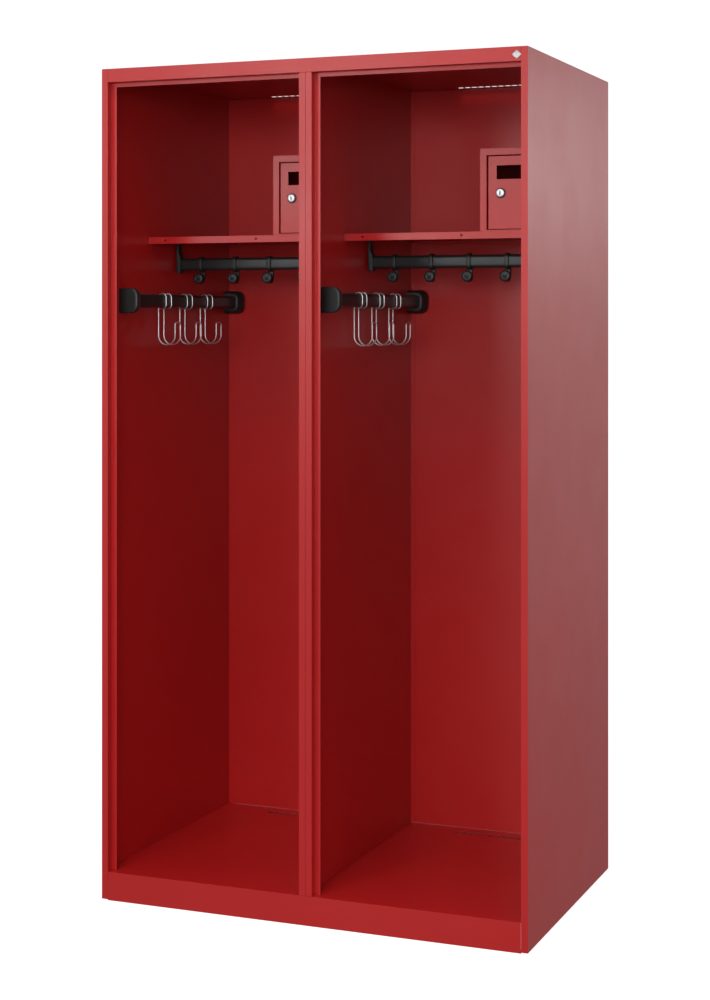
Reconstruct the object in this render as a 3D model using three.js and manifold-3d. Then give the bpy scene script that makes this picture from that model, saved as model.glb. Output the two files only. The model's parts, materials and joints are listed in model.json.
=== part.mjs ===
// A double open-fronted cloakroom locker in folded sheet steel. Each of its two compartments holds a
// hat shelf with a small lockable box, a coat rail with sliding hooks and a side rail with wire hooks.
// Millimetres, +Z up, X to the right and Y to the back as seen from the front. The origin is on the
// floor under the middle of the locker.
import * as THREE from "three";
import { mergeVertices } from "three/addons/utils/BufferGeometryUtils.js";
import Module from "manifold-3d";

const wasm = await Module();
wasm.setup();

// ---- Driving dimensions -------------------------------------------------------------------------

const WIDTH = 1000;
const DEPTH = 600;
const HEIGHT = 1850;
const SHEET = 1; // thickness of every folded panel
const GAP = 0.3; // air between neighbouring pieces
const LEAF_GAP = 0.2; // from the middle of the locker to each leaf of the partition

// Inside a compartment, x is counted from the face of its left wall.
const BAY = WIDTH / 2 - LEAF_GAP - 2 * SHEET; // clear width of a compartment
const COMPARTMENTS = [
  { side: "left", wall: -WIDTH / 2 + SHEET },
  { side: "right", wall: LEAF_GAP + SHEET },
];

const BADGE = { width: 21, height: 17.5, thick: 0.7, x: 476, z: 1833.5 };
const FACE = -DEPTH / 2 + BADGE.thick + GAP; // front of the carcass, just behind the badge's front
const BACK = DEPTH / 2;

// The front frame of each opening
const STILE = 15; // width of a vertical front member, on each side of its wall
const RAIL = 30; // height of the front member above the openings
const REVEAL = 17; // how far the door stop stands back from the front
const STOP = 12.5; // width of the vertical door stop
const TOP_STOP = 9.5; // height of the stop under the top rail
const STILE_RETURN = 20; // depth of a stile that has no stop

// Base, roof and back
const PLINTH = 63;
const SIDE_LIFT = 2; // the side panels stop short of the floor
const REAR_FLANGE = 15;
const LEAF_FLANGE = 12.3;
const ROOF_FLANGE = 20;
const BASE_RETURN = 20;
const BACK_PANEL = BACK - SHEET - GAP; // rear face of the back panels
const LEAF_REAR = BACK_PANEL - SHEET - GAP; // rear face of the partition's flanges
const VENT = { count: 14, pitch: 17, width: 13.5, length: 16, roofY: 276, floorY: 256 };

// Shelf
const SHELF = { top: 1484, front: -100, back: 296, frontLip: 16, backLip: 8, hem: 10 };
const LIP_HOLE = { radius: 2.5, z: 1476, x: [44.5, 279.5, 454.5] };
const SUPPORT = { bottom: 1457, leg: 15, front: -88, back: 288 };

// Oval tube of both rails, standing upright
const TUBE = { width: 15, height: 30, wall: 1.5 };

// Coat rail, its brackets and its hooks
const COAT_RAIL = { y: 33, z: 1423.5 };
const BRACKET = {
  near: 4.6, // from the wall to its closed side
  far: 15, // from the wall to its open side
  cap: 3, // closed side
  cheek: 2.2, // in front of and behind the rail
  bottom: 1403.5,
  shoulder: 1443, // top of the socket
  riser: 5, // thickness of the strip that hangs from the shelf
  foot: 24, // from the wall to the end of the flare under the shelf
  chamfer: 2,
};
const COAT_HOOK = {
  count: 5,
  first: 67.5,
  pitch: 91,
  width: 10,
  play: 0.4, // between the eye and the rail
  eye: 3.4, // wall of the eye round the rail
  stem: 6,
  bend: 16.15, // outer radius of the J
  bottom: 1377,
};
const BUTTON = { radius: 13, thick: 7, dimple: 3.5, dimpleDepth: 5 };

// Side rail, its end cups and its wire hooks
const SIDE_RAIL = { x: 25, z: 1335, front: -228, back: LEAF_REAR - SHEET - GAP }; // with its cups
const CUP = { out: 47, height: 57, corner: 19, rim: 9, depth: 28, taper: 0.82, cap: 12 };
const WIRE_HOOK = {
  y: [-66, 34, 134],
  wire: 1.6, // radius of the wire
  play: 1, // between the wire and the rail it is wrapped round
  spread: 25, // from one wire of the hook to the other
  bend: 22, // radius of the hook itself
  bottom: 1233,
  tip: 1285,
  tipBend: 6,
  tail: 6, // straight end of the wire under the rail
};
const WIRE_ARC_STEPS = 3; // steps in each half of its section
const WIRE_STEPS = 76;

// Lockable box on the shelf
const BOX = { width: 175.2, top: 1664, front: -98, back: 292, frame: 15, frameFoot: 3, hem: 10 };
const DOOR = { left: 19.3, width: 138.2, bottom: 1488.5, top: 1646.5, depth: 12 };
const MAIL_SLOT = { left: 19, width: 105, bottom: 1596.4, top: 1626.1 };
const HINGE = { fromEdge: 3.5, y: -94, radius: 2, play: 0.1, headRadius: 2.7, headHeight: 2, sides: 16 };
const LOCK = { fromEdge: 28.5, z: 1566.5, rosette: 11.25, rosetteThick: 1.7, flange: 9, flangeThick: 3.2 };
const BARREL = { radius: 8, bore: 5.8, end: -86.3 };
const NUT = { acrossCorners: 25.4, thick: 4.7 };
const PLUG = { radius: 5.5, proud: 0.5, tail: 5, button: 1.5 };
const KEYWAY = { width: 1.8, height: 7, depth: 8 };
const CAM = { front: -85.5, back: -83.5, reach: 41, halfWidth: 7 };

const ROUND = 20; // sides of a turned piece
const ARC_STEPS = 5; // steps in each quarter of a rounded outline

// ---- Materials ----------------------------------------------------------------------------------

const finish = (color, roughness, metalness) =>
  new THREE.MeshStandardMaterial({ color, roughness, metalness });

const RED_PAINT = finish(0xa81f22, 0.42, 0);
const BLACK_PLASTIC = finish(0x1b1c1d, 0.5, 0);
const BLACK_TUBE = finish(0x232426, 0.45, 0.1);
const CHROME = finish(0xd9dadb, 0.18, 1);
const STEEL = finish(0x9a9c9e, 0.4, 1);
const SILVER = finish(0xd3d5d8, 0.35, 0.8);

// ---- Solids -------------------------------------------------------------------------------------

// A closed geometry as a solid that can be joined and cut.
function solid(geometry) {
  const bare = geometry.clone();
  bare.deleteAttribute("normal");
  bare.deleteAttribute("uv");
  const merged = mergeVertices(bare, 1e-3);
  return new wasm.Manifold(
    new wasm.Mesh({
      numProp: 3,
      vertProperties: merged.attributes.position.array,
      triVerts: new Uint32Array(merged.index.array),
    }),
  );
}

// A named mesh of a solid, with flat faces.
function piece(name, shape, material) {
  const { vertProperties, triVerts } = shape.getMesh();
  const indexed = new THREE.BufferGeometry();
  indexed.setAttribute("position", new THREE.BufferAttribute(vertProperties, 3));
  indexed.setIndex(new THREE.BufferAttribute(triVerts, 1));
  const geometry = indexed.toNonIndexed();
  geometry.computeVertexNormals();
  const mesh = new THREE.Mesh(geometry, material);
  mesh.name = name;
  return mesh;
}

const joined = (first, ...rest) => rest.reduce((sum, next) => sum.add(next), first);
const cut = (first, ...rest) => rest.reduce((left, next) => left.subtract(next), first);

// A box between two opposite corners, given in any order.
function block(a, b) {
  const size = a.map((value, i) => Math.abs(b[i] - value));
  const centre = a.map((value, i) => (value + b[i]) / 2);
  return solid(new THREE.BoxGeometry(...size).translate(...centre));
}

// An outline pushed along an axis between two stations, given in any order. The outline is in (y, z)
// for x, in (x, z) for y and in (x, y) for z.
function extruded(axis, outline, from, to) {
  const [low, high] = from < to ? [from, to] : [to, from];
  const options = { depth: high - low, bevelEnabled: false, curveSegments: ARC_STEPS };
  const geometry = new THREE.ExtrudeGeometry(outline, options);
  if (axis === "x") {
    return geometry.rotateX(Math.PI / 2).rotateZ(Math.PI / 2).translate(low, 0, 0);
  }
  if (axis === "y") {
    return geometry.rotateX(Math.PI / 2).translate(0, high, 0);
  }
  return geometry.translate(0, 0, low);
}

const prism = (axis, outline, from, to) => solid(extruded(axis, outline, from, to));

// A prism along y whose outline shrinks by a factor towards the point (x, z) on its way.
function taperedPrism(outline, from, to, [x, z], factor) {
  const geometry = extruded("y", outline, from, to);
  const position = geometry.attributes.position;
  for (let i = 0; i < position.count; i++) {
    const scale = 1 + ((factor - 1) * (position.getY(i) - from)) / (to - from);
    position.setX(i, x + (position.getX(i) - x) * scale);
    position.setZ(i, z + (position.getZ(i) - z) * scale);
  }
  return solid(geometry);
}

// A round bar along an axis; centre holds the other two coordinates in x, y, z order.
function bar(axis, centre, radius, from, to, sides = ROUND) {
  const geometry = new THREE.CylinderGeometry(radius, radius, to - from, sides);
  const middle = (from + to) / 2;
  if (axis === "x") {
    geometry.rotateZ(Math.PI / 2).translate(middle, ...centre);
  } else if (axis === "y") {
    geometry.translate(centre[0], middle, centre[1]);
  } else {
    geometry.rotateX(Math.PI / 2).translate(...centre, middle);
  }
  return solid(geometry);
}

const polygon = (points) => new THREE.Shape(points.map(([a, b]) => new THREE.Vector2(a, b)));

// The outline of a right-angled folded sheet: a path of its outer faces, one sheet thick to its left.
function folded(path) {
  const leftOf = (a, b) => [Math.sign(a[1] - b[1]), Math.sign(b[0] - a[0])];
  const inner = path.map((point, i) => {
    const before = i > 0 ? leftOf(path[i - 1], point) : [0, 0];
    const after = i < path.length - 1 ? leftOf(point, path[i + 1]) : [0, 0];
    return [0, 1].map((k) => point[k] + SHEET * (before[k] + after[k]));
  });
  return polygon([...path, ...inner.reverse()]);
}

// An upright slot-shaped outline round a centre.
function obround([across, z], width, height) {
  const radius = width / 2;
  const straight = height / 2 - radius;
  const outline = new THREE.Shape();
  outline.absarc(across, z + straight, radius, 0, Math.PI, false);
  outline.absarc(across, z - straight, radius, Math.PI, 2 * Math.PI, false);
  return outline;
}

// The rails' section, or one that is larger all round by a margin.
const ovalSection = (centre, margin = 0) =>
  obround(centre, TUBE.width + 2 * margin, TUBE.height + 2 * margin);

const ovalTube = (axis, centre, from, to) =>
  cut(
    prism(axis, ovalSection(centre), from, to),
    prism(axis, ovalSection(centre, -TUBE.wall), from - SHEET, to + SHEET),
  );

// ---- Carcass ------------------------------------------------------------------------------------

// Plan path of a wall: rear flange, wall, stile, then a door stop or a plain return.
function wallPath({ x, inward, rear, flange, stile, hasStop }) {
  const edge = x + inward * stile;
  const path = [[x + inward * flange, rear], [x, rear], [x, FACE], [edge, FACE]];
  if (hasStop) {
    path.push([edge, FACE + REVEAL], [edge + inward * STOP, FACE + REVEAL]);
  } else {
    path.push([edge, FACE + STILE_RETURN]);
  }
  return inward > 0 ? path : path.reverse();
}

// Side panels run from floor to roof. Behind the stile, the stop clears the roof and the base.
function sidePanel(inward, hasStop) {
  const x = (-inward * WIDTH) / 2;
  const path = wallPath({ x, inward, rear: BACK, flange: REAR_FLANGE, stile: STILE, hasStop });
  const inside = x + inward * SHEET;
  const across = x + inward * (STILE + STOP + GAP);
  const behind = FACE + SHEET;
  const clear = FACE + STILE_RETURN + GAP;
  return cut(
    prism("z", folded(path), SIDE_LIFT, HEIGHT),
    block([inside, behind, HEIGHT - RAIL - GAP], [across, clear, HEIGHT + SHEET]),
    block([inside, behind, 0], [across, clear, PLINTH + GAP]),
  );
}

// The partition is two leaves back to back, standing between the base and the roof.
function partitionLeaf(inward, hasStop) {
  const x = inward * LEAF_GAP;
  const rear = LEAF_REAR;
  const stile = STILE - LEAF_GAP;
  const path = wallPath({ x, inward, rear, flange: LEAF_FLANGE, stile, hasStop });
  const stopBack = FACE + REVEAL + SHEET + GAP;
  return cut(
    prism("z", folded(path), PLINTH + GAP, HEIGHT - SHEET - GAP),
    block([x, FACE - SHEET, HEIGHT - RAIL - GAP], [x + inward * (STILE + STOP), stopBack, HEIGHT]),
  );
}

// One row of vent slots over each compartment, to cut from a flat panel.
function vents(y, bottom) {
  const slots = [];
  for (const middle of COMPARTMENTS.map(({ wall }) => wall + BAY / 2)) {
    for (let i = 0; i < VENT.count; i++) {
      const left = middle + (i - VENT.count / 2) * VENT.pitch + (VENT.pitch - VENT.width) / 2;
      slots.push(
        block([left, y - VENT.length / 2, bottom], [left + VENT.width, y + VENT.length / 2, bottom + 3]),
      );
    }
  }
  return slots;
}

const BETWEEN_STILES = WIDTH / 2 - STILE - GAP;
const BETWEEN_SIDES = WIDTH / 2 - SHEET - GAP;

// A flat sheet that reaches the side panels, inside their stiles and rear flanges.
const fullSheet = (bottom) =>
  block(
    [-BETWEEN_SIDES, FACE + SHEET + GAP, bottom],
    [BETWEEN_SIDES, BACK - SHEET - GAP, bottom + SHEET],
  );

function roofPanel() {
  const under = HEIGHT - RAIL;
  const stopEnd = under - TOP_STOP;
  const stopFront = FACE + REVEAL;
  const path = [
    [BACK, HEIGHT - ROOF_FLANGE],
    [BACK, HEIGHT],
    [FACE, HEIGHT],
    [FACE, under],
    [stopFront, under],
    [stopFront, stopEnd],
  ];
  // The stop makes way for the upright stops of the left wall and of the partition.
  const notch = (from, to) =>
    block([from, stopFront - SHEET, stopEnd - SHEET], [to, stopFront + 2 * SHEET, under]);
  return cut(
    joined(
      prism("x", folded(path), -BETWEEN_STILES, BETWEEN_STILES),
      fullSheet(HEIGHT - SHEET),
    ),
    notch(-WIDTH / 2, -WIDTH / 2 + STILE + STOP + GAP),
    notch(-STILE - GAP, STILE + STOP + GAP),
    ...vents(VENT.roofY, HEIGHT - 2 * SHEET),
  );
}

function basePanel() {
  const path = [
    [BACK - BASE_RETURN, 0],
    [BACK, 0],
    [BACK, PLINTH],
    [FACE, PLINTH],
    [FACE, 0],
    [FACE + BASE_RETURN, 0],
  ];
  return cut(
    joined(
      prism("x", folded(path), -BETWEEN_STILES, BETWEEN_STILES),
      fullSheet(PLINTH - SHEET),
    ),
    ...vents(VENT.floorY, PLINTH - 2 * SHEET),
  );
}

const backPanel = (inward) =>
  block(
    [-inward * BETWEEN_SIDES, BACK_PANEL - SHEET, PLINTH + GAP],
    [-inward * GAP, BACK_PANEL, HEIGHT - SHEET - GAP],
  );

function badge() {
  const { x, z, width, height, thick } = BADGE;
  const corners = [[x - width / 2, z], [x, z - height / 2], [x + width / 2, z], [x, z + height / 2]];
  return prism("y", polygon(corners), -DEPTH / 2, -DEPTH / 2 + thick);
}

// ---- Shelf and its supports ---------------------------------------------------------------------

const SIDES_OF_BAY = [
  { name: "left", x: 0, inward: 1 },
  { name: "right", x: BAY, inward: -1 },
];

function shelf() {
  const { top, front, back, frontLip, backLip, hem } = SHELF;
  const path = [
    [back, top - backLip],
    [back, top],
    [front, top],
    [front, top - frontLip],
    [front + hem, top - frontLip],
  ];
  const { radius, z, x } = LIP_HOLE;
  const holes = x.map((at) => bar("y", [at, z], radius, front - SHEET, front + 2 * SHEET, 12));
  return cut(prism("x", folded(path), GAP, BAY - GAP), ...holes);
}

// An angle under each end of the shelf: one leg against the wall, the other under the shelf.
function shelfSupport({ x, inward }) {
  const wall = x + inward * GAP;
  const top = SHELF.top - SHEET - GAP;
  return joined(
    block([wall, SUPPORT.front, SUPPORT.bottom], [wall + inward * SHEET, SUPPORT.back, top]),
    block([wall, SUPPORT.front, top - SHEET], [wall + inward * SUPPORT.leg, SUPPORT.back, top]),
  );
}

// ---- Coat rail ----------------------------------------------------------------------------------

const RAIL_CENTRE = [COAT_RAIL.y, COAT_RAIL.z];
const RAIL_START = BRACKET.near + BRACKET.cap + GAP;

const coatRail = () => ovalTube("x", RAIL_CENTRE, RAIL_START, BAY - RAIL_START);

// A socket for the end of the rail, on a strip that hangs from the shelf and flares out under it.
function coatRailBracket({ x, inward }) {
  const { near, far, cap, cheek, bottom, shoulder, riser, foot, chamfer } = BRACKET;
  const top = SHELF.top - 2 * SHEET - 2 * GAP;
  const strip = near + riser;
  const profile = [
    [near, top],
    [foot, top],
    [foot, top - 3],
    [strip + 4, top - 10],
    [strip, top - 20],
    [strip, shoulder + 8],
    [strip + chamfer, shoulder + chamfer],
    [far, shoulder],
    [far, bottom + chamfer],
    [far - chamfer, bottom],
    [near + chamfer, bottom],
    [near, bottom + chamfer],
  ];
  const outline = polygon(profile.map(([distance, z]) => [x + inward * distance, z]));
  const half = TUBE.width / 2 + GAP + cheek;
  return cut(
    prism("y", outline, COAT_RAIL.y - half, COAT_RAIL.y + half),
    prism("x", ovalSection(RAIL_CENTRE, GAP), x + inward * (near + cap), x + inward * (far + SHEET)),
  );
}

// A moulded hook: an eye round the rail, and a J below it whose front end is a dimpled round button.
function coatHook(x) {
  const { width, play, eye, stem, bend, bottom } = COAT_HOOK;
  const left = x - width / 2;
  const right = x + width / 2;
  const back = COAT_RAIL.y + TUBE.width / 2 + play + eye;
  const front = back - 2 * bend;
  const centre = [back - bend, bottom + bend];
  const curve = cut(
    bar("x", centre, bend, left, right),
    bar("x", centre, bend - stem, left - 1, right + 1),
    block([left - 1, front - 1, bottom + bend], [right + 1, back + 1, bottom + 2 * bend]),
  );
  const middle = [x, bottom + BUTTON.radius];
  return cut(
    joined(
      prism("x", ovalSection(RAIL_CENTRE, play + eye), left, right),
      block([left, back - stem, bottom + bend], [right, back, COAT_RAIL.z]),
      curve,
      bar("y", middle, BUTTON.radius, front, front + BUTTON.thick),
    ),
    prism("x", ovalSection(RAIL_CENTRE, play), left - 1, right + 1),
    bar("y", middle, BUTTON.dimple, front - 1, front + BUTTON.dimpleDepth, 12),
  );
}

// ---- Side rail ----------------------------------------------------------------------------------

const SIDE_CENTRE = [SIDE_RAIL.x, SIDE_RAIL.z];

const sideRail = () =>
  ovalTube("y", SIDE_CENTRE, SIDE_RAIL.front + CUP.cap + GAP, SIDE_RAIL.back - CUP.cap - GAP);

// A D-shaped cup on the wall that narrows towards the rail it holds.
function sideRailCup(end) {
  const { out, height, corner, rim, depth, taper, cap } = CUP;
  const { z } = SIDE_RAIL;
  const half = height / 2;
  const outline = new THREE.Shape();
  outline.moveTo(GAP, z - half);
  outline.absarc(out - corner, z - half + corner, corner, -Math.PI / 2, 0, false);
  outline.absarc(out - corner, z + half - corner, corner, 0, Math.PI / 2, false);
  outline.lineTo(GAP, z + half);
  const closed = end === "front" ? SIDE_RAIL.front : SIDE_RAIL.back;
  const inward = end === "front" ? 1 : -1; // from the closed end to the mouth
  const at = (distance) => closed + inward * distance;
  return cut(
    joined(
      prism("y", outline, closed, at(rim)),
      taperedPrism(outline, at(rim), at(depth), [GAP, z], taper),
    ),
    prism("y", ovalSection(SIDE_CENTRE, GAP), at(cap), at(depth + SHEET)),
  );
}

// Length of a Bezier handle, as a share of the radius, that makes a quarter of a circle.
const QUARTER = 0.5523;

// Straight runs joined by quarter-circle bends. Each inner corner is followed by its bend radius.
function bentPath(corners) {
  const path = new THREE.CurvePath();
  let from = corners[0].at;
  for (let i = 1; i < corners.length - 1; i++) {
    const { at, radius } = corners[i];
    const into = at.clone().sub(corners[i - 1].at).normalize();
    const out = corners[i + 1].at.clone().sub(at).normalize();
    const enter = at.clone().addScaledVector(into, -radius);
    const leave = at.clone().addScaledVector(out, radius);
    if (from.distanceTo(enter) > 0.01) path.add(new THREE.LineCurve3(from, enter));
    const handleIn = enter.clone().addScaledVector(into, radius * QUARTER);
    const handleOut = leave.clone().addScaledVector(out, -radius * QUARTER);
    path.add(new THREE.CubicBezierCurve3(enter, handleIn, handleOut, leave));
    from = leave;
  }
  path.add(new THREE.LineCurve3(from, corners.at(-1).at));
  return path;
}

// One length of wire bent double: each half wraps the rail, drops, and turns up in a J; a crossbar
// joins the two tips.
function wireHook(middle) {
  const { wire, play, spread, bend, bottom, tip, tipBend, tail } = WIRE_HOOK;
  const wrap = TUBE.width / 2 + play + wire;
  const { x, z } = SIDE_RAIL;
  const reach = TUBE.height / 2 + play + wire;
  const stem = x - wrap;
  const half = (y) => [
    { at: new THREE.Vector3(x - tail, y, z - reach) },
    { at: new THREE.Vector3(x + wrap, y, z - reach), radius: wrap },
    { at: new THREE.Vector3(x + wrap, y, z + reach), radius: wrap },
    { at: new THREE.Vector3(stem, y, z + reach), radius: wrap },
    { at: new THREE.Vector3(stem, y, bottom), radius: bend },
    { at: new THREE.Vector3(stem + 2 * bend, y, bottom), radius: bend },
    { at: new THREE.Vector3(stem + 2 * bend, y, tip), radius: tipBend },
  ];
  const corners = [...half(middle - spread / 2), ...half(middle + spread / 2).reverse()];
  const section = new THREE.Shape();
  section.absarc(0, 0, wire, 0, 2 * Math.PI, false);
  const options = { steps: WIRE_STEPS, extrudePath: bentPath(corners), curveSegments: WIRE_ARC_STEPS };
  return solid(new THREE.ExtrudeGeometry(section, options));
}

// ---- Lockable box -------------------------------------------------------------------------------

const BOX_RIGHT = BAY - GAP;
const BOX_LEFT = BOX_RIGHT - BOX.width;
const BOX_BOTTOM = SHELF.top + GAP;
const MOUTH = {
  left: BOX_LEFT + BOX.frame,
  right: BOX_RIGHT - BOX.frame,
  bottom: SHELF.top + BOX.frameFoot,
  top: BOX.top - BOX.frame,
};
const DOOR_LEFT = BOX_LEFT + DOOR.left;
const DOOR_RIGHT = DOOR_LEFT + DOOR.width;
const PIN_AXIS = [DOOR_RIGHT - HINGE.fromEdge, HINGE.y];
const PIN_BOTTOM = BOX_BOTTOM + SHEET + GAP; // just above the box's floor
const LOCK_AXIS = [DOOR_LEFT + LOCK.fromEdge, LOCK.z];

// What is drilled for the hinge pin between two heights.
const pinHole = (from, to) => bar("z", PIN_AXIS, HINGE.radius + HINGE.play, from, to, HINGE.sides);

// The box is a closed sheet body. Its mouth is framed, and hemmed inwards.
function boxBody() {
  const { front, back, top, hem } = BOX;
  const { left, right, bottom, top: mouthTop } = MOUTH;
  const shell = cut(
    block([BOX_LEFT, front, BOX_BOTTOM], [BOX_RIGHT, back, top]),
    block(
      [BOX_LEFT + SHEET, front + SHEET, BOX_BOTTOM + SHEET],
      [BOX_RIGHT - SHEET, back - SHEET, top - SHEET],
    ),
  );
  const hems = block(
    [left - SHEET, front, bottom - SHEET],
    [right + SHEET, front + hem, mouthTop + SHEET],
  );
  return cut(
    joined(shell, hems),
    block([left, front - SHEET, bottom], [right, front + hem + SHEET, mouthTop]),
    pinHole(PIN_BOTTOM, mouthTop + 2 * SHEET),
  );
}

// The door is a shallow pan with a letter slot and a lock hole, drilled for its hinge pin.
function boxDoor() {
  const { bottom, top, depth } = DOOR;
  const slotLeft = DOOR_LEFT + MAIL_SLOT.left;
  const front = BOX.front;
  return cut(
    block([DOOR_LEFT, front, bottom], [DOOR_RIGHT, front + depth, top]),
    block(
      [DOOR_LEFT + SHEET, front + SHEET, bottom + SHEET],
      [DOOR_RIGHT - SHEET, front + depth + SHEET, top - SHEET],
    ),
    block(
      [slotLeft, front - SHEET, MAIL_SLOT.bottom],
      [slotLeft + MAIL_SLOT.width, front + 2 * SHEET, MAIL_SLOT.top],
    ),
    bar("y", LOCK_AXIS, BARREL.radius + GAP, front - SHEET, front + 2 * SHEET),
    pinHole(bottom - SHEET, bottom + 2 * SHEET),
    pinHole(top - 2 * SHEET, top + SHEET),
  );
}

// The pin stands on the box's floor and runs through the hems and the door; its head rests on top.
function hingePin() {
  const headFrom = MOUTH.top + SHEET + GAP;
  return joined(
    bar("z", PIN_AXIS, HINGE.radius, PIN_BOTTOM, headFrom + SHEET, HINGE.sides),
    bar("z", PIN_AXIS, HINGE.headRadius, headFrom, headFrom + HINGE.headHeight, HINGE.sides),
  );
}

const ROSETTE_FRONT = BOX.front - GAP - LOCK.rosetteThick;
const FLANGE_BACK = ROSETTE_FRONT - GAP;
const FLANGE_FRONT = FLANGE_BACK - LOCK.flangeThick;

const lockRosette = () =>
  cut(
    bar("y", LOCK_AXIS, LOCK.rosette, ROSETTE_FRONT, BOX.front - GAP),
    bar("y", LOCK_AXIS, BARREL.radius + GAP, ROSETTE_FRONT - SHEET, BOX.front),
  );

const lockBarrel = () =>
  cut(
    joined(
      bar("y", LOCK_AXIS, LOCK.flange, FLANGE_FRONT, FLANGE_BACK),
      bar("y", LOCK_AXIS, BARREL.radius, FLANGE_FRONT, BARREL.end),
    ),
    bar("y", LOCK_AXIS, BARREL.bore, FLANGE_FRONT - SHEET, BARREL.end + SHEET),
  );

function lockNut() {
  const from = BOX.front + SHEET + GAP;
  return cut(
    bar("y", LOCK_AXIS, NUT.acrossCorners / 2, from, from + NUT.thick, 6),
    bar("y", LOCK_AXIS, BARREL.radius + GAP, from - SHEET, from + NUT.thick + SHEET),
  );
}

// The plug turns in the barrel. Its square tail carries the cam, held on by a button end.
function lockPlug() {
  const [x, z] = LOCK_AXIS;
  const front = FLANGE_FRONT - PLUG.proud;
  const half = PLUG.tail / 2;
  const buttonFrom = CAM.back + GAP;
  return cut(
    joined(
      bar("y", LOCK_AXIS, PLUG.radius, front, BARREL.end),
      block([x - half, BARREL.end - SHEET, z - half], [x + half, buttonFrom + SHEET, z + half]),
      bar("y", LOCK_AXIS, PLUG.radius - 1, buttonFrom, buttonFrom + PLUG.button),
    ),
    block(
      [x - KEYWAY.width / 2, front - SHEET, z - KEYWAY.height / 2],
      [x + KEYWAY.width / 2, front + KEYWAY.depth, z + KEYWAY.height / 2],
    ),
  );
}

// The cam hangs down when the lock is open.
function lockCam() {
  const [x, z] = LOCK_AXIS;
  const hole = PLUG.tail / 2 + GAP;
  return cut(
    block([x - CAM.halfWidth, CAM.front, z - CAM.reach], [x + CAM.halfWidth, CAM.back, z + CAM.halfWidth]),
    block([x - hole, CAM.front - SHEET, z - hole], [x + hole, CAM.back + SHEET, z + hole]),
  );
}

// ---- Assembly -----------------------------------------------------------------------------------

function carcass() {
  const group = new THREE.Group();
  group.add(
    piece("left_side_panel", sidePanel(1, true), RED_PAINT),
    piece("right_side_panel", sidePanel(-1, false), RED_PAINT),
    piece("left_partition_leaf", partitionLeaf(-1, false), RED_PAINT),
    piece("right_partition_leaf", partitionLeaf(1, true), RED_PAINT),
    piece("roof_panel", roofPanel(), RED_PAINT),
    piece("base_panel", basePanel(), RED_PAINT),
    piece("left_back_panel", backPanel(1), RED_PAINT),
    piece("right_back_panel", backPanel(-1), RED_PAINT),
    piece("badge", badge(), SILVER),
  );
  return group;
}

// Everything inside one compartment, with x counted from its left wall.
function fittings(side) {
  const group = new THREE.Group();
  const add = (name, shape, material) => group.add(piece(`${side}_${name}`, shape, material));

  add("shelf", shelf(), RED_PAINT);
  for (const wall of SIDES_OF_BAY) {
    add(`shelf_support_${wall.name}`, shelfSupport(wall), RED_PAINT);
    add(`coat_rail_bracket_${wall.name}`, coatRailBracket(wall), BLACK_PLASTIC);
  }

  add("coat_rail", coatRail(), BLACK_TUBE);
  for (let i = 0; i < COAT_HOOK.count; i++) {
    add(`coat_hook_${i + 1}`, coatHook(COAT_HOOK.first + i * COAT_HOOK.pitch), BLACK_PLASTIC);
  }

  add("side_rail", sideRail(), BLACK_TUBE);
  for (const end of ["front", "rear"]) {
    add(`side_rail_cup_${end}`, sideRailCup(end), BLACK_PLASTIC);
  }
  WIRE_HOOK.y.forEach((y, i) => add(`wire_hook_${i + 1}`, wireHook(y), CHROME));

  add("box_body", boxBody(), RED_PAINT);
  add("box_door", boxDoor(), RED_PAINT);
  add("box_hinge_pin", hingePin(), STEEL);
  add("lock_rosette", lockRosette(), BLACK_PLASTIC);
  add("lock_barrel", lockBarrel(), CHROME);
  add("lock_nut", lockNut(), STEEL);
  add("lock_plug", lockPlug(), CHROME);
  add("lock_cam", lockCam(), STEEL);
  return group;
}

const locker = new THREE.Group();
locker.add(carcass());
for (const { side, wall } of COMPARTMENTS) {
  const inside = fittings(side);
  inside.position.x = wall;
  locker.add(inside);
}

export default locker;
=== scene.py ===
"""Looks of the double open-fronted locker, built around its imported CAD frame. Metres, +Z up."""

import json
import math

import bmesh
import bpy
from mathutils import Matrix, Vector

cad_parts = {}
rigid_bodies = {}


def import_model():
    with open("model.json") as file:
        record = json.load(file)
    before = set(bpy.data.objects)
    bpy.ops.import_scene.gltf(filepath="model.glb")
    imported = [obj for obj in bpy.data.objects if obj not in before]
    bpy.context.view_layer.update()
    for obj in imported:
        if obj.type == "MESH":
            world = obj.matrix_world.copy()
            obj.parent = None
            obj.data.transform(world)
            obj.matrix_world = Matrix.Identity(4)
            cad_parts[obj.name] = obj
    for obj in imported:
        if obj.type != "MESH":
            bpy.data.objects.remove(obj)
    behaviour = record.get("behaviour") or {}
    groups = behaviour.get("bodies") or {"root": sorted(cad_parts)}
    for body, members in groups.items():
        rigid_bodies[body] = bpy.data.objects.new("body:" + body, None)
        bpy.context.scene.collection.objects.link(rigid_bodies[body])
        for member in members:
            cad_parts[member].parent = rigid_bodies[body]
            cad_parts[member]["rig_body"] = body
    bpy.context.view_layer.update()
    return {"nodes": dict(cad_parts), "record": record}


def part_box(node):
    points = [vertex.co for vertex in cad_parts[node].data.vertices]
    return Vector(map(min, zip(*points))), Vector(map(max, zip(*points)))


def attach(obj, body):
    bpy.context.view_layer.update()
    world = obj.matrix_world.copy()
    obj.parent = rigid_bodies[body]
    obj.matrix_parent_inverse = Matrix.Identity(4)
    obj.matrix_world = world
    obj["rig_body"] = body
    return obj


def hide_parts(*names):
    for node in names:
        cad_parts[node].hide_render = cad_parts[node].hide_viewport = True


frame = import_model()
NODES = frame["nodes"]
MM = 0.001


# ---- Materials -----------------------------------------------------------------------------------

NOISE_LOW, NOISE_HIGH = 0.3, 0.7  # most of a noise texture's values lie between these


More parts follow.
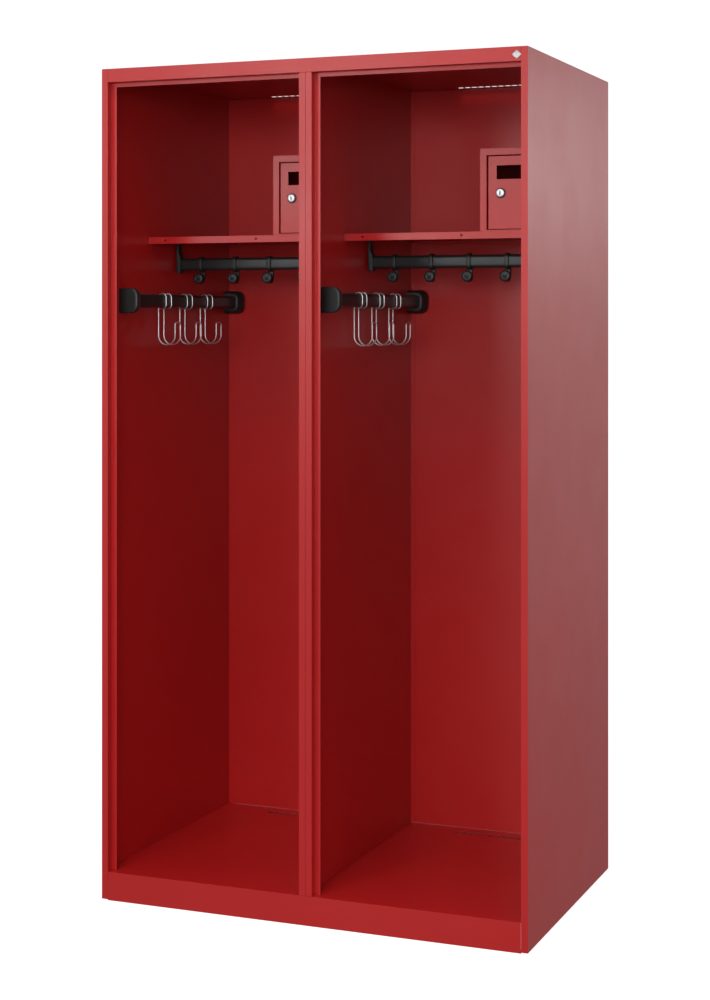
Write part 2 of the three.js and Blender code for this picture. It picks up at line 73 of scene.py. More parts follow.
class Shader:
    """A new node material, with short calls for the nodes that the finishes share."""

    def __init__(self, name):
        self.material = bpy.data.materials.new(name)
        self.material.use_nodes = True
        self.tree = self.material.node_tree
        self.surface = self.tree.nodes["Principled BSDF"]
        self.place = self.tree.nodes.new("ShaderNodeTexCoord").outputs["Object"]

    def link(self, source, target):
        self.tree.links.new(source, target)

    def stretched(self, scale):
        """Object coordinates, scaled separately along x, y and z."""
        mapping = self.tree.nodes.new("ShaderNodeMapping")
        mapping.inputs["Scale"].default_value = scale
        self.link(self.place, mapping.inputs["Vector"])
        return mapping.outputs["Vector"]

    def noise(self, scale, detail=2.0, roughness=0.5, place=None):
        """Noise with features about 1/scale metres wide."""
        node = self.tree.nodes.new("ShaderNodeTexNoise")
        node.inputs["Scale"].default_value = scale
        node.inputs["Detail"].default_value = detail
        node.inputs["Roughness"].default_value = roughness
        self.link(place or self.place, node.inputs["Vector"])
        return node.outputs["Fac"]

    def spread(self, value, from_low, from_high, to_low, to_high):
        """A value moved from one range to another, and held inside it."""
        node = self.tree.nodes.new("ShaderNodeMapRange")
        for name, number in zip(
            ("From Min", "From Max", "To Min", "To Max"), (from_low, from_high, to_low, to_high)
        ):
            node.inputs[name].default_value = number
        self.link(value, node.inputs["Value"])
        return node.outputs["Result"]

    def varied(self, noise, low, high):
        """A noise value moved to lie between two numbers."""
        return self.spread(noise, NOISE_LOW, NOISE_HIGH, low, high)

    def tint(self, factor, low, high):
        """A colour between two colours."""
        node = self.tree.nodes.new("ShaderNodeMix")
        node.data_type = "RGBA"
        node.inputs["A"].default_value = (*low, 1)
        node.inputs["B"].default_value = (*high, 1)
        self.link(factor, node.inputs["Factor"])
        return node.outputs["Result"]

    def overlay(self, factor, under, color):
        """A colour output with another colour laid over it."""
        node = self.tree.nodes.new("ShaderNodeMix")
        node.data_type = "RGBA"
        self.link(factor, node.inputs["Factor"])
        self.link(under, node.inputs["A"])
        node.inputs["B"].default_value = (*color, 1)
        return node.outputs["Result"]

    def bump(self, height, distance, strength=1.0, under=None):
        """Relief that is distance metres deep, on top of another relief if one is given."""
        node = self.tree.nodes.new("ShaderNodeBump")
        node.inputs["Distance"].default_value = distance
        node.inputs["Strength"].default_value = strength
        self.link(height, node.inputs["Height"])
        if under is not None:
            self.link(under, node.inputs["Normal"])
        return node.outputs["Normal"]

    def finish(self, color, roughness, normal, metallic=0.0, specular=0.5):
        self.link(color, self.surface.inputs["Base Color"])
        self.link(roughness, self.surface.inputs["Roughness"])
        self.link(normal, self.surface.inputs["Normal"])
        self.surface.inputs["Metallic"].default_value = metallic
        self.surface.inputs["Specular IOR Level"].default_value = specular
        return self.material


def powder_coat():
    """Semi-gloss red powder coat: orange peel, fine speckle and a slow drift in shade."""
    deep, light, fleck = (0.452, 0.0098, 0.0102), (0.486, 0.0118, 0.0120), (0.36, 0.006, 0.006)
    s = Shader("red_powder_coat")
    drift = s.spread(s.noise(1.7, 3), 0.35, 0.65, 0, 1)
    speckle = s.spread(s.noise(900, 1), 0.55, 0.80, 0, 0.22)
    color = s.overlay(speckle, s.tint(drift, deep, light), fleck)
    rough = s.varied(s.noise(9, 4), 0.29, 0.35)
    waves = s.bump(s.noise(2.6, 1), 0.0004, 0.5)
    peel = s.bump(s.noise(620, 2, 0.45), 0.00006, 0.5, under=waves)
    return s.finish(color, rough, peel)


def moulded_plastic():
    """Black plastic with the fine grain of a spark-eroded mould, slightly polished by use."""
    s = Shader("black_plastic")
    color = s.tint(s.noise(900, 2), (0.0095, 0.0120, 0.0126), (0.0150, 0.0180, 0.0187))
    rough = s.varied(s.noise(45, 3), 0.40, 0.52)
    return s.finish(color, rough, s.bump(s.noise(2400, 2), 0.00004, 0.6))


def painted_tube():
    """Satin black paint on steel tube, with a faint grain."""
    s = Shader("black_tube")
    color = s.tint(s.noise(60, 3), (0.0115, 0.0148, 0.0155), (0.016, 0.0195, 0.0203))
    rough = s.varied(s.noise(30, 3), 0.30, 0.40)
    return s.finish(color, rough, s.bump(s.noise(700, 2), 0.00003, 0.5))


def chrome_plate():
    """Bright plating, dulled a little by handling."""
    s = Shader("chrome")
    color = s.tint(s.noise(80, 2), (0.60, 0.605, 0.61), (0.67, 0.675, 0.68))
    rough = s.varied(s.noise(160, 3), 0.32, 0.40)
    return s.finish(color, rough, s.bump(s.noise(1200, 1), 0.00001, 0.1), metallic=1.0)


def zinc_plate():
    """Plain steel with a thin, slightly blotchy zinc plating."""
    s = Shader("steel")
    color = s.tint(s.noise(140, 4), (0.46, 0.465, 0.46), (0.60, 0.605, 0.61))
    rough = s.varied(s.noise(90, 3), 0.28, 0.45)
    return s.finish(color, rough, s.bump(s.noise(1500, 2), 0.00002, 0.5), metallic=1.0)


def badge_metal():
    """Satin aluminium, brushed from side to side."""
    s = Shader("badge_silver")
    brushed = s.noise(40, 3, place=s.stretched((3, 1, 60)))
    color = s.tint(brushed, (0.40, 0.41, 0.41), (0.52, 0.525, 0.53))
    rough = s.varied(brushed, 0.34, 0.50)
    return s.finish(color, rough, s.bump(brushed, 0.00001, 0.5), metallic=0.9)


def painted_keyway_shade():
    """Painted shade: near black, for the inside of a lock's keyway, which is dark only because
    light hardly reaches it.
    """
    s = Shader("painted_keyway_shade")
    color = s.tint(s.noise(2000, 1), (0.006, 0.006, 0.006), (0.012, 0.012, 0.012))
    rough = s.varied(s.noise(900, 1), 0.55, 0.75)
    return s.finish(color, rough, s.bump(s.noise(2500, 1), 0.00001))


FINISH = {
    "red_powder_coat": powder_coat(),
    "black_plastic": moulded_plastic(),
    "black_tube": painted_tube(),
    "chrome": chrome_plate(),
    "steel": zinc_plate(),
    "badge_silver": badge_metal(),
}
# Painted shade, laid on the faces inside the lock keyways.
PAINTED_SHADE = painted_keyway_shade()
SLOT_OF = {part["node"]: part["material_slot"] for part in frame["record"]["subparts"]}


# ---- Meshes --------------------------------------------------------------------------------------

SMOOTH_BELOW = math.radians(35)  # edges flatter than this are shaded smooth
SAME_POINT = 1e-6  # metres
PATH_GAP = 1e-5  # metres: points of a path that are closer than this are one
BEND_STEPS = 10  # pieces of a right-angled bend
WIRE_DOME = [(0.5, 0.87), (0.87, 0.5), (1.0, 0.12)]  # reach and radius at a wire's end, in radii


def dress(obj, material):
    """Gives an object one material, smooth except across its sharp edges."""
    obj.data.materials.clear()
    obj.data.materials.append(material)
    obj.data.polygons.foreach_set("use_smooth", [True] * len(obj.data.polygons))
    obj.data.set_sharp_from_angle(angle=SMOOTH_BELOW)


def new_piece(name, mesh, node, painted_shade_where=None):
    """Puts a mesh in the place of a CAD node: it rides on the node's body and wears its finish."""
    obj = bpy.data.objects.new(name, mesh)
    bpy.context.scene.collection.objects.link(obj)
    dress(obj, FINISH[SLOT_OF[node]])
    # Painted shade: the faces that the given test picks are made near black, where the part is only
    # in shade.
    if painted_shade_where:
        obj.data.materials.append(PAINTED_SHADE)
        for face in obj.data.polygons:
            if painted_shade_where(face.center):
                face.material_index = 1
    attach(obj, NODES[node]["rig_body"])
    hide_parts(node)


def tidy_mesh(mesh):
    """Welds doubled points and turns every face outwards."""
    bm = bmesh.new()
    bm.from_mesh(mesh)
    bmesh.ops.remove_doubles(bm, verts=bm.verts, dist=SAME_POINT)
    bmesh.ops.recalc_face_normals(bm, faces=bm.faces)
    bm.to_mesh(mesh)
    bm.free()
    mesh.update()


def mesh_of(name, verts, faces):
    mesh = bpy.data.meshes.new(name)
    mesh.from_pydata([tuple(v) for v in verts], [], faces)
    tidy_mesh(mesh)
    return mesh


def skin(rings, count, closed=False):
    """Quads between neighbouring rings of points. A closed skin runs back to the first ring."""
    faces = []
    for ring in range(rings if closed else rings - 1):
        after = (ring + 1) % rings
        for i in range(count):
            j = (i + 1) % count
            faces.append((ring * count + i, ring * count + j, after * count + j, after * count + i))
    return faces


def caps(rings, count):
    """The two faces that close the first and the last ring."""
    return [tuple(range(count)), tuple((rings - 1) * count + i for i in range(count))]


def joined(name, meshes):
    """Several meshes as one."""
    bm = bmesh.new()
    for mesh in meshes:
        bm.from_mesh(mesh)
        bpy.data.meshes.remove(mesh)
    mesh = bpy.data.meshes.new(name)
    bm.to_mesh(mesh)
    bm.free()
    return mesh


def arc(center, radius, start, end, steps=12):
    """Points on an arc, in degrees, both ends included."""
    angles = [math.radians(start + (end - start) * i / steps) for i in range(steps + 1)]
    return [(center[0] + radius * math.cos(a), center[1] + radius * math.sin(a)) for a in angles]


def circle(center, radius, steps=48):
    return arc(center, radius, 0, 360, steps)[:-1]


AXES = {
    "x": Matrix(((0, 0, 1), (1, 0, 0), (0, 1, 0))),  # outline in (y, z)
    "y": Matrix(((1, 0, 0), (0, 0, -1), (0, 1, 0))),  # outline in (x, z)
    "z": Matrix.Identity(3),  # outline in (x, y)
}


def plate(name, axis, outlines, low, high, rounding):
    """A plate with rounded edges between two stations of an axis.

    The first outline is its edge, and any others are holes in it.
    """
    curve = bpy.data.curves.new(name, "CURVE")
    curve.dimensions = "2D"
    curve.fill_mode = "BOTH"
    curve.extrude = (high - low) / 2 - rounding
    curve.bevel_depth = rounding
    curve.bevel_resolution = 3
    curve.offset = -rounding
    for outline in outlines:
        spline = curve.splines.new("POLY")
        spline.points.add(len(outline) - 1)
        for point, (a, b) in zip(spline.points, outline):
            point.co = (a, b, 0, 1)
        spline.use_cyclic_u = True
    holder = bpy.data.objects.new(name, curve)
    bpy.context.scene.collection.objects.link(holder)
    evaluated = holder.evaluated_get(bpy.context.evaluated_depsgraph_get())
    mesh = bpy.data.meshes.new_from_object(evaluated)
    bpy.data.objects.remove(holder)
    bpy.data.curves.remove(curve)
    shift = Vector()
    shift["xyz".index(axis)] = (low + high) / 2
    mesh.transform(Matrix.Translation(shift) @ AXES[axis].to_4x4())
    tidy_mesh(mesh)
    return mesh


def turned(name, axis, center, profile, sides=48):
    """A turned piece. Profile points are (station, radius), and the profile closes on itself."""
    verts = []
    for station, radius in profile:
        for i in range(sides):
            a = 2 * math.pi * i / sides
            u, v = center[0] + radius * math.cos(a), center[1] + radius * math.sin(a)
            point = AXES[axis] @ Vector((u, v, 0))
            point["xyz".index(axis)] = station
            verts.append(point)
    return mesh_of(name, verts, skin(len(profile), sides, closed=True))


def wire(name, path, radius, sides=14):
    """A round wire along a path, with domed ends."""
    tangents = []
    for i, point in enumerate(path):
        before = path[max(i - 1, 0)]
        after = path[min(i + 1, len(path) - 1)]
        tangents.append((after - before).normalized())
    side = tangents[0].orthogonal().normalized()
    rings = []
    for i, (point, tangent) in enumerate(zip(path, tangents)):
        if i:
            side = tangents[i - 1].rotation_difference(tangent) @ side
        rings.append((point, tangent, side, radius))
    first, last = rings[0], rings[-1]

    def end(ring, way, reach, share):
        point, tangent, side, _ = ring
        return (point + way * tangent * radius * reach, tangent, side, radius * share)

    head = [end(first, -1, reach, share) for reach, share in WIRE_DOME]
    tail = [end(last, 1, reach, share) for reach, share in WIRE_DOME]
    rings = head[::-1] + rings + tail
    verts = []
    for point, tangent, side, r in rings:
        across = tangent.cross(side)
        for i in range(sides):
            a = 2 * math.pi * i / sides
            verts.append(point + (side * math.cos(a) + across * math.sin(a)) * r)
    return mesh_of(name, verts, skin(len(rings), sides) + caps(len(rings), sides))


def bent(corners):
    """Points of straight runs joined by right-angled bends. Corners are (point, bend radius)."""
    path = [corners[0][0]]
    for (before, _), (at, radius), (after, _) in zip(corners, corners[1:], corners[2:]):
        into = (at - before).normalized()
        out = (after - at).normalized()
        center = at - into * radius + out * radius
        for i in range(BEND_STEPS + 1):
            a = math.radians(90 * i / BEND_STEPS)
            path.append(center - out * radius * math.cos(a) + into * radius * math.sin(a))
    path.append(corners[-1][0])
    spaced = [path[0]]
    for point in path[1:]:
        if (point - spaced[-1]).length > PATH_GAP:
            spaced.append(point)
    return spaced


# ---- Folded panels -------------------------------------------------------------------------------

EDGE_ROUND = 0.4 * MM
WELD_GAP = 0.01 * MM
ROUND_ABOVE = math.radians(40)  # edges sharper than this are rounded


def soften(obj):
    """Rounds the sharp edges of a CAD solid with modifiers, which leave its own mesh alone."""
    weld = obj.modifiers.new("weld", "WELD")
    weld.merge_threshold = WELD_GAP
    bevel = obj.modifiers.new("edges", "BEVEL")
    bevel.width = EDGE_ROUND
    bevel.segments = 2
    bevel.limit_method = "ANGLE"
    bevel.angle_limit = ROUND_ABOVE
    bevel.harden_normals = True


for name, slot in SLOT_OF.items():
    if slot == "red_powder_coat":
        panel = NODES[name]
        panel.data.materials.clear()
        panel.data.materials.append(FINISH[slot])
        soften(panel)


# ---- Rails, brackets, hooks and cups -------------------------------------------------------------

SIDES = ("left", "right")
COAT_HOOKS, WIRE_HOOKS = 5, 3  # in each compartment
TUBE_WALL = 1.5 * MM
TUBE_EDGE = 0.25 * MM  # rounding of a tube's cut ends
FIT = 0.3 * MM  # play between a rail and the moulding that holds it

# A coat hook's button, in mm: depth behind its front and radius, from the dimple out to the rim,
# then depth and distance inside the rim, round the rim to the back.
BUTTON_FACE = [
    (5.0, 0.001), (5.0, 2.4), (4.2, 3.1), (1.9, 3.5), (0.8, 4.2), (0.2, 5.6), (0, 7.2),
    (0.25, 9.0), (1.0, 10.9), (2.1, 12.3),
]
BUTTON_RIM = [(3.4, 0), (4.6, 0.2), (5.9, 1.2), (6.8, 3.0), (7, 5.0)]

# A side rail's cup: distance from its closed face in mm, and its width there as a share.
CUP_SHAPE = [
    (0, 0.88), (0.2, 0.925), (0.8, 0.962), (1.8, 0.986), (3.2, 0.998), (5, 1), (9, 1), (12, 0.992),
    (16, 0.968), (20, 0.93), (24, 0.882), (26.4, 0.845), (27.5, 0.815), (27.9, 0.79), (28, 0.76),
]
CUP_CORNER = 19 * MM
CUP_SOCKET = (28, 12)  # mm from the closed face: the socket's mouth and its floor

HOOK_WIRE = 1.6 * MM  # radius
HOOK_PLAY = 1 * MM  # between the rail and the wire round it
HOOK_TAIL = 6 * MM  # how far the wire runs on under the rail, past its middle
TIP_HEIGHT = 1285 * MM  # of the crossbar, above the floor
TIP_BEND = 6 * MM


def middle_of(node):
    low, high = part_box(node)
    return (low + high) / 2


def size_of(node):
    low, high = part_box(node)
    return high - low


def upright_slot(center, width, height, steps=16):
    """An upright outline with half-round ends."""
    x, z = center
    radius = width / 2
    straight = height / 2 - radius
    top = arc((x, z + straight), radius, 0, 180, steps)
    return top + arc((x, z - straight), radius, 180, 360, steps)


def oval_rail(node, axis):
    """A length of oval tube, open at its ends."""
    low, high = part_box(node)
    middle, size = (low + high) / 2, high - low
    along = "xyz".index(axis)
    across = 1 - along
    center = (middle[across], middle.z)
    outlines = [
        upright_slot(center, size[across], size.z),
        upright_slot(center, size[across] - 2 * TUBE_WALL, size.z - 2 * TUBE_WALL),
    ]
    tube = plate(node, axis, outlines, low[along], high[along], TUBE_EDGE)
    new_piece(node + "_tube", tube, node)


def coat_hook(node, rail):
    """A moulded eye round the rail, and a J below it whose front end is a dimpled round button."""
    low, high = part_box(node)
    tube = size_of(rail)
    y, z = middle_of(rail).yz
    x = (low.x + high.x) / 2
    eye_width = 2 * (high.y - y)
    eye_height = 2 * (high.z - z)
    wall = (eye_width - tube.y) / 2 - 0.4 * MM
    radius = eye_width / 2
    straight = eye_height / 2 - radius
    stem = 6 * MM
    tip_rise = 3 * MM
    bend = (high.y - low.y) / 2
    center = (high.y - bend, low.z + bend)
    meet = math.degrees(math.acos((high.y - stem - y) / radius))
    outline = arc((y, z + straight), radius, 0, 180, 24)
    outline += arc((y, z - straight), radius, 180, 360 - meet, 16)
    outline += arc(center, bend - stem, 0, -180, 24)
    outline += arc((center[0] - bend + stem / 2, center[1] + tip_rise), stem / 2, 0, 180, 8)
    outline += arc(center, bend, 180, 360, 32)
    bore = upright_slot((y, z), eye_width - 2 * wall, eye_height - 2 * wall)
    half = 5 * MM
    body = plate(node, "x", [outline, bore], x - half, x + half, 1.3 * MM)
    rim = size_of(node).x / 2
    front = low.y
    profile = [(front + depth * MM, out * MM) for depth, out in BUTTON_FACE]
    profile += [(front + depth * MM, rim - inset * MM) for depth, inset in BUTTON_RIM]
    profile.append((profile[-1][0], profile[0][1]))
    button = turned(node, "y", (x, low.z + rim), profile, 40)
    new_piece(node + "_moulding", joined(node, [body, button]), node)


def swept_corner(start, end, steps=10):
    """A hollow curve from one point to another: level where it starts and upright where it ends."""
    (x0, z0), (x1, z1) = start, end
    turns = [math.radians(90 * i / steps) for i in range(steps + 1)]
    return [(x0 + (x1 - x0) * math.sin(t), z0 + (z1 - z0) * (1 - math.cos(t))) for t in turns]


def rail_bracket(node, rail, inward):
    """The socket of a rail's end, on a strip that hangs from the shelf and flares out under it."""
    low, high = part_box(node)
    y, z = middle_of(rail).yz
    tube = size_of(rail)
    near, foot = (low.x, high.x) if inward > 0 else (high.x, low.x)

    def at(distance):
        return near + inward * distance

    far, strip, cap = 10.4 * MM, 5 * MM, 3 * MM  # depth of the socket, strip and socket's end wall
    foot_thick, foot_flare = 2.5 * MM, 20 * MM
    shoulder_rise, shoulder_flare = 4.5 * MM, 9 * MM
    corner, soft_edge, sunk = 2 * MM, 0.7 * MM, 0.9 * MM
    top, bottom = high.z, low.z
    shoulder = z + tube.z / 2 + shoulder_rise
    outer = [(at(0), bottom + corner), (at(0), top), (foot, top)]
    outer += swept_corner((foot, top - foot_thick), (at(strip), top - foot_flare))
    outer += swept_corner((at(far), shoulder), (at(strip), shoulder + shoulder_flare))[::-1]
    outer += [(at(far), bottom + corner)]
    for t in [math.radians(90 * i / 5) for i in range(6)]:
        across, down = corner * math.cos(t), corner * math.sin(t)
        outer.append((at(far - corner + across), bottom + corner - down))
    for t in [math.radians(90 * i / 5) for i in range(6)]:
        across, down = corner * math.sin(t), corner * math.cos(t)
        outer.append((at(corner - across), bottom + corner - down))
    floor, roof = z - tube.z / 2 - FIT, z + tube.z / 2 + FIT
    socket = [(at(far), roof), (at(cap), roof), (at(cap), floor), (at(far), floor)]
    split = max(i for i, point in enumerate(outer) if point[1] > roof) + 1
    core = outer[:split] + socket + outer[split:]
    cheek = tube.y / 2 + FIT
    parts = [
        plate(node, "y", [outer], low.y, y - cheek, soft_edge),
        plate(node, "y", [core], low.y + sunk, high.y - sunk, 0.05 * MM),
        plate(node, "y", [outer], y + cheek, high.y, soft_edge),
    ]
    new_piece(node + "_moulding", joined(node, parts), node)


def edge_of_slot(center, half_width, half_height, toward):
    """Where a ray from the centre of an upright slot towards a point crosses its edge."""
    dx, dz = toward[0] - center[0], toward[1] - center[1]
    length = math.hypot(dx, dz)
    dx, dz = dx / length, dz / length
    straight = half_height - half_width
    if abs(dz) * half_width <= straight * abs(dx):
        reach = half_width / abs(dx)
    else:
        up = abs(dz) * straight
        reach = up + math.sqrt(up * up - straight * straight + half_width * half_width)
    return (center[0] + dx * reach, center[1] + dz * reach)


def side_rail_cup(node, rail, inward):
    """A D-shaped cup with a soft shoulder, narrowing towards the rail it holds."""
    low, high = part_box(node)
    center = tuple(middle_of(rail).xz)
    tube = size_of(rail)
    half = (high.z - low.z) / 2
    corner = CUP_CORNER
    closed = low.y if inward > 0 else high.y
    depth = high.y - low.y
    x, z = low.x, (low.z + high.z) / 2
    outline = [(x, z + half * (1 - i / 8)) for i in range(17)]
    outline += arc((high.x - corner, low.z + corner), corner, -90, 0, 16)
    outline += [(high.x, z + (half - corner) * t) for t in (-0.5, 0, 0.5)]
    outline += arc((high.x - corner, high.z - corner), corner, 0, 90, 16)[:-1]
    rings = []
    for distance, share in CUP_SHAPE:
        y = closed + inward * min(distance * MM, depth)
        rings.append([Vector((x + (a - x) * share, y, z + (b - z) * share)) for a, b in outline])
    half_slot = (tube.x / 2 + FIT, tube.z / 2 + FIT)
    mouth = [edge_of_slot(center, *half_slot, (point.x, point.z)) for point in rings[-1]]
    for distance in CUP_SOCKET:
        rings.append([Vector((a, closed + inward * distance * MM, b)) for a, b in mouth])
    count = len(outline)
    verts = [point for ring in rings for point in ring]
    faces = caps(len(rings), count) + skin(len(rings), count)
    new_piece(node + "_moulding", mesh_of(node, verts, faces), node)


def wire_hook(node, rail):
    """One wire bent double: each half wraps the rail and drops in a J; a crossbar joins them."""
    low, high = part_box(node)
    rail_low, rail_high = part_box(rail)
    x, z = middle_of(rail).xz
    radius = HOOK_WIRE
    wrap = (rail_high.x - rail_low.x) / 2 + HOOK_PLAY + radius
    reach = (rail_high.z - rail_low.z) / 2 + HOOK_PLAY + radius
    stem = x - wrap
    far = high.x - radius
    bend = (far - stem) / 2
    bottom = low.z + radius

    def half(y):
        return [
            (Vector((x - HOOK_TAIL, y, z - reach)), 0),
            (Vector((x + wrap, y, z - reach)), wrap),
            (Vector((x + wrap, y, z + reach)), wrap),
            (Vector((stem, y, z + reach)), wrap),
            (Vector((stem, y, bottom)), bend),
            (Vector((far, y, bottom)), bend),
            (Vector((far, y, TIP_HEIGHT)), TIP_BEND),
        ]

    corners = half(low.y + radius) + half(high.y - radius)[::-1]
    new_piece(node + "_wire", wire(node, bent(corners), radius), node)


for side in SIDES:
    coat_rail, side_rail = side + "_coat_rail", side + "_side_rail"
    oval_rail(coat_rail, "x")
    rail_bracket(side + "_coat_rail_bracket_left", coat_rail, 1)
    rail_bracket(side + "_coat_rail_bracket_right", coat_rail, -1)
    for number in range(1, COAT_HOOKS + 1):
        coat_hook(f"{side}_coat_hook_{number}", coat_rail)
    oval_rail(side_rail, "y")
    side_rail_cup(side + "_side_rail_cup_front", side_rail, 1)
    side_rail_cup(side + "_side_rail_cup_rear", side_rail, -1)
    for number in range(1, WIRE_HOOKS + 1):
        wire_hook(f"{side}_wire_hook_{number}", side_rail)


# ---- Locks, hinge pins and badge -----------------------------------------------------------------

LOCK_SIDES = 56  # of the rosette and the barrel
BARREL_HOLE = 8.3 * MM  # radius of the hole that takes the lock's barrel
AXIS_RADIUS = 0.0001 * MM  # a ring this small is welded into one point


def square(center, half):
    x, z = center
    return [(x - half, z - half), (x + half, z - half), (x + half, z + half), (x - half, z + half)]


def lock_rosette(node):
    """The ring round the lock, with its front edge rounded."""
    low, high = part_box(node)
    x, z = middle_of(node).xz
    radius, rim = (high.z - low.z) / 2, 0.5 * MM
    profile = [
        (low.y, BARREL_HOLE), (low.y, radius - rim), (low.y + rim * 0.3, radius - rim * 0.3),
        (low.y + rim, radius), (high.y, radius), (high.y, BARREL_HOLE),
    ]
    new_piece(node + "_turning", turned(node, "y", (x, z), profile, LOCK_SIDES), node)


def lock_barrel(node):
    """The lock's housing: a domed flange in front, and a threaded body behind."""
    low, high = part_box(node)
    x, z = middle_of(node).xz
    flange = (high.z - low.z) / 2
    body, bore = 8 * MM, 5.8 * MM
    pitch, thread_deep, thread_free = 1 * MM, 0.35 * MM, 0.4 * MM
    back = low.y + 3.2 * MM
    profile = [
        (low.y, bore), (low.y, flange - 1.4 * MM), (low.y + 0.25 * MM, flange - 0.7 * MM),
        (low.y + 0.9 * MM, flange), (back, flange), (back, body),
    ]
    station = back
    while station + pitch < high.y - thread_free:
        profile += [(station + pitch * 0.5, body - thread_deep), (station + pitch, body)]
        station += pitch
    profile += [(high.y, body - thread_free), (high.y, bore)]
    new_piece(node + "_housing", turned(node, "y", (x, z), profile, LOCK_SIDES), node)


def lock_plug(node):
    """The turning plug: face with keyway, body, square tail for the cam, and end button.

    Each part runs a little way into the next.
    """
    low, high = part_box(node)
    x, z = middle_of(node).xz
    radius = (high.z - low.z) / 2
    key_half, key_wide = 4 * MM, 1.5 * MM
    key = arc((x, z + key_half - key_wide), key_wide, 0, 180, 8)
    key += arc((x, z - key_half + key_wide), key_wide, 180, 360, 8)
    disc = circle((x, z), radius, 48)
    button = circle((x, z), radius - 1 * MM, 32)
    tail = square((x, z), 2.5 * MM)
    parts = [
        plate(node, "y", [disc, key], low.y, low.y + 3 * MM, 0.25 * MM),
        plate(node, "y", [disc], low.y + 2.7 * MM, high.y - 4.2 * MM, 0.2 * MM),
        plate(node, "y", [tail], high.y - 4.6 * MM, high.y - 1 * MM, 0.2 * MM),
        plate(node, "y", [button], high.y - 1.5 * MM, high.y, 0.4 * MM),
    ]

    def in_keyway(place):
        """True just behind the face: the keyway's walls and floor, and the rim the barrel hides.
        These faces get painted shade.
        """
        return low.y + 0.4 * MM < place.y < low.y + 3.2 * MM

    # The inside of the keyway is painted near black as shade.
    new_piece(node + "_turning", joined(node, parts), node, painted_shade_where=in_keyway)


def lock_cam(node):
    """A stamped steel cam with a round end and a square hole."""
    low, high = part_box(node)
    half = (high.x - low.x) / 2
    x = (low.x + high.x) / 2
    z = high.z - half
    tip, hole = 5 * MM, 2.8 * MM
    outline = arc((x, z), half, 0, 180, 20) + arc((x, low.z + tip), tip, 180, 360, 12)
    stamping = plate(node, "y", [outline, square((x, z), hole)], low.y, high.y, 0.25 * MM)
    new_piece(node + "_stamping", stamping, node)


def lock_nut(node):
    """The hexagon nut that holds the barrel in the door."""
    low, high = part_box(node)
    x, z = middle_of(node).xz
    radius = (high.z - low.z) / 2
    outlines = [arc((x, z), radius, 90, 450, 6)[:-1], circle((x, z), BARREL_HOLE, 40)]
    new_piece(node + "_hexagon", plate(node, "y", outlines, low.y, high.y, 0.4 * MM), node)


def hinge_pin(node):
    """A plain pin with a flat head on top."""
    low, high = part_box(node)
    x, y = middle_of(node).xy
    head = (high.x - low.x) / 2
    shank, under = 2 * MM, high.z - 2 * MM
    point = 0.3 * MM
    profile = [
        (low.z, AXIS_RADIUS), (low.z, shank - point), (low.z + point, shank), (under, shank),
        (under, head), (high.z - 0.5 * MM, head), (high.z, head - 0.6 * MM), (high.z, AXIS_RADIUS),
    ]
    new_piece(node + "_turning", turned(node, "z", (x, y), profile, 32), node)


def badge(node):
    """A blank diamond plate with a raised rim."""
    low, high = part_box(node)
    x, z = middle_of(node).xz
    wide, tall = (high.x - low.x) / 2, (high.z - low.z) / 2

    def diamond(scale):
        across, up = wide * scale, tall * scale
        return [(x - across, z), (x, z - up), (x + across, z), (x, z + up)]

    base = plate(node, "y", [diamond(1.0)], low.y + 0.2 * MM, high.y, 0.12 * MM)
    rim = plate(node, "y", [diamond(0.97), diamond(0.80)], low.y, low.y + 0.45 * MM, 0.1 * MM)
    new_piece(node + "_plate", joined(node, [base, rim]), node)


for side in SIDES:
    lock_rosette(side + "_lock_rosette")
    lock_barrel(side + "_lock_barrel")
    lock_plug(side + "_lock_plug")
    lock_cam(side + "_lock_cam")
    lock_nut(side + "_lock_nut")
    hinge_pin(side + "_box_hinge_pin")
badge("badge")


# ---- Stage, lights and camera --------------------------------------------------------------------

FLOOR_REACH = 30  # metres from the middle to each edge
FLOOR_GLOW = 0.85

# Name, place, target, width and height, and watts of each lamp.
LAMPS = [
    ("front_left", (-2.2, -5.2, 2.15), (0, 0, 1.5), (1.5, 1.4), 33),
    ("front_level", (1.1, -5.9, 1.8), (0, 0, 0.95), (2.0, 1.6), 105),
    ("right", (4.5, -1.0, 1.6), (0.5, 0, 0.9), (2.0, 2.0), 20),
    ("side_back", (3.2, 5.0, 2.1), (0.5, 0, 1.4), (1.4, 0.9), 14),
    ("top", (0, -2.5, 5.0), (0, 0, 1.0), (2.0, 2.0), 58),
]

# The surround's brightness by the height of a direction, from straight down (-1) to straight up
# (1), and its brightness where the camera sees it.
SURROUND = [(-1.0, 0.05), (-0.25, 0.28), (0.0, 0.68), (0.3, 0.50), (1.0, 0.50)]
SURROUND_SEEN = 1.05

# The photograph's viewpoint, from the perspective of the locker's outline.
CAMERA_PLACE = (1.6432, -3.7401, 1.2956)
CAMERA_TURN = 20.176  # degrees to the right of the front
CAMERA_LENS = 64.12  # mm, on a sensor 36 mm wide
CAMERA_SHIFT = (-0.117, -0.182)


def pale_floor():
    """A white floor that glows enough to read as paper white, almost without shadow."""
    r = FLOOR_REACH
    mesh = mesh_of("floor", [(-r, -r, 0), (r, -r, 0), (r, r, 0), (-r, r, 0)], [(0, 1, 2, 3)])
    floor = bpy.data.objects.new("floor", mesh)
    bpy.context.scene.collection.objects.link(floor)
    s = Shader("pale_floor")
    color = s.tint(s.noise(3, 3), (0.43, 0.43, 0.43), (0.47, 0.47, 0.47))
    rough = s.varied(s.noise(20, 2), 0.7, 0.8)
    grain = s.bump(s.noise(200, 2), 0.0001, 0.2)
    mesh.materials.append(s.finish(color, rough, grain, specular=0.1))
    s.surface.inputs["Emission Color"].default_value = (1, 1, 1, 1)
    s.surface.inputs["Emission Strength"].default_value = FLOOR_GLOW
    floor.visible_glossy = False
    floor.visible_diffuse = False


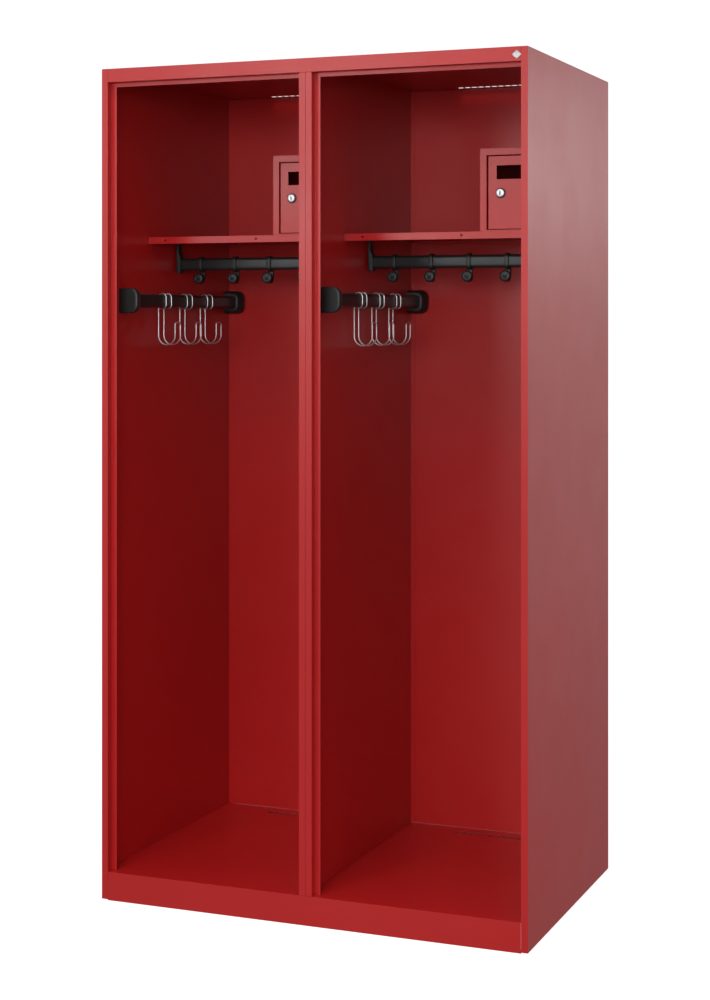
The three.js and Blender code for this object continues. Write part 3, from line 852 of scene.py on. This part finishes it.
def softbox(name, place, target, size, watts):
    """A white rectangular area lamp, turned towards its target."""
    data = bpy.data.lights.new(name, "AREA")
    data.shape = "RECTANGLE"
    data.size, data.size_y = size
    data.energy = watts
    lamp = bpy.data.objects.new(name, data)
    lamp.location = place
    lamp.rotation_euler = (Vector(target) - Vector(place)).to_track_quat("-Z", "Y").to_euler()
    bpy.context.scene.collection.objects.link(lamp)


def studio_world():
    """A white surround, brightest at the horizon. The camera sees it as plain white."""
    world = bpy.data.worlds.new("studio")
    world.use_nodes = True
    nodes, links = world.node_tree.nodes, world.node_tree.links
    around = nodes.new("ShaderNodeTexCoord")
    split = nodes.new("ShaderNodeSeparateXYZ")
    links.new(around.outputs["Generated"], split.inputs["Vector"])
    height = nodes.new("ShaderNodeMapRange")
    height.inputs["From Min"].default_value = -1
    links.new(split.outputs["Z"], height.inputs["Value"])
    ramp = nodes.new("ShaderNodeValToRGB")
    links.new(height.outputs["Result"], ramp.inputs["Fac"])
    stops = ramp.color_ramp.elements
    stops[0].color = [SURROUND[0][1]] * 3 + [1]
    stops[1].color = [SURROUND[-1][1]] * 3 + [1]
    for level, brightness in SURROUND[1:-1]:
        stops.new((level + 1) / 2).color = [brightness] * 3 + [1]
    seen = nodes.new("ShaderNodeLightPath")
    strength = nodes.new("ShaderNodeMix")
    strength.inputs["B"].default_value = SURROUND_SEEN
    links.new(seen.outputs["Is Camera Ray"], strength.inputs["Factor"])
    links.new(ramp.outputs["Color"], strength.inputs["A"])
    background = nodes["Background"]
    background.inputs["Color"].default_value = (1, 1, 1, 1)
    links.new(strength.outputs["Result"], background.inputs["Strength"])
    bpy.context.scene.world = world


def photo_camera():
    """The photograph's viewpoint: level, and to the right of the front."""
    data = bpy.data.cameras.new("camera")
    data.lens = CAMERA_LENS
    data.sensor_width = 36
    data.shift_x, data.shift_y = CAMERA_SHIFT
    data.clip_end = 200
    camera = bpy.data.objects.new("camera", data)
    camera.location = CAMERA_PLACE
    camera.rotation_euler = (math.radians(90), 0, math.radians(CAMERA_TURN))
    bpy.context.scene.collection.objects.link(camera)
    bpy.context.scene.camera = camera


pale_floor()
studio_world()
for lamp in LAMPS:
    softbox(*lamp)
photo_camera()

bpy.context.scene.view_settings.view_transform = "Standard"
bpy.context.scene.view_settings.look = "None"
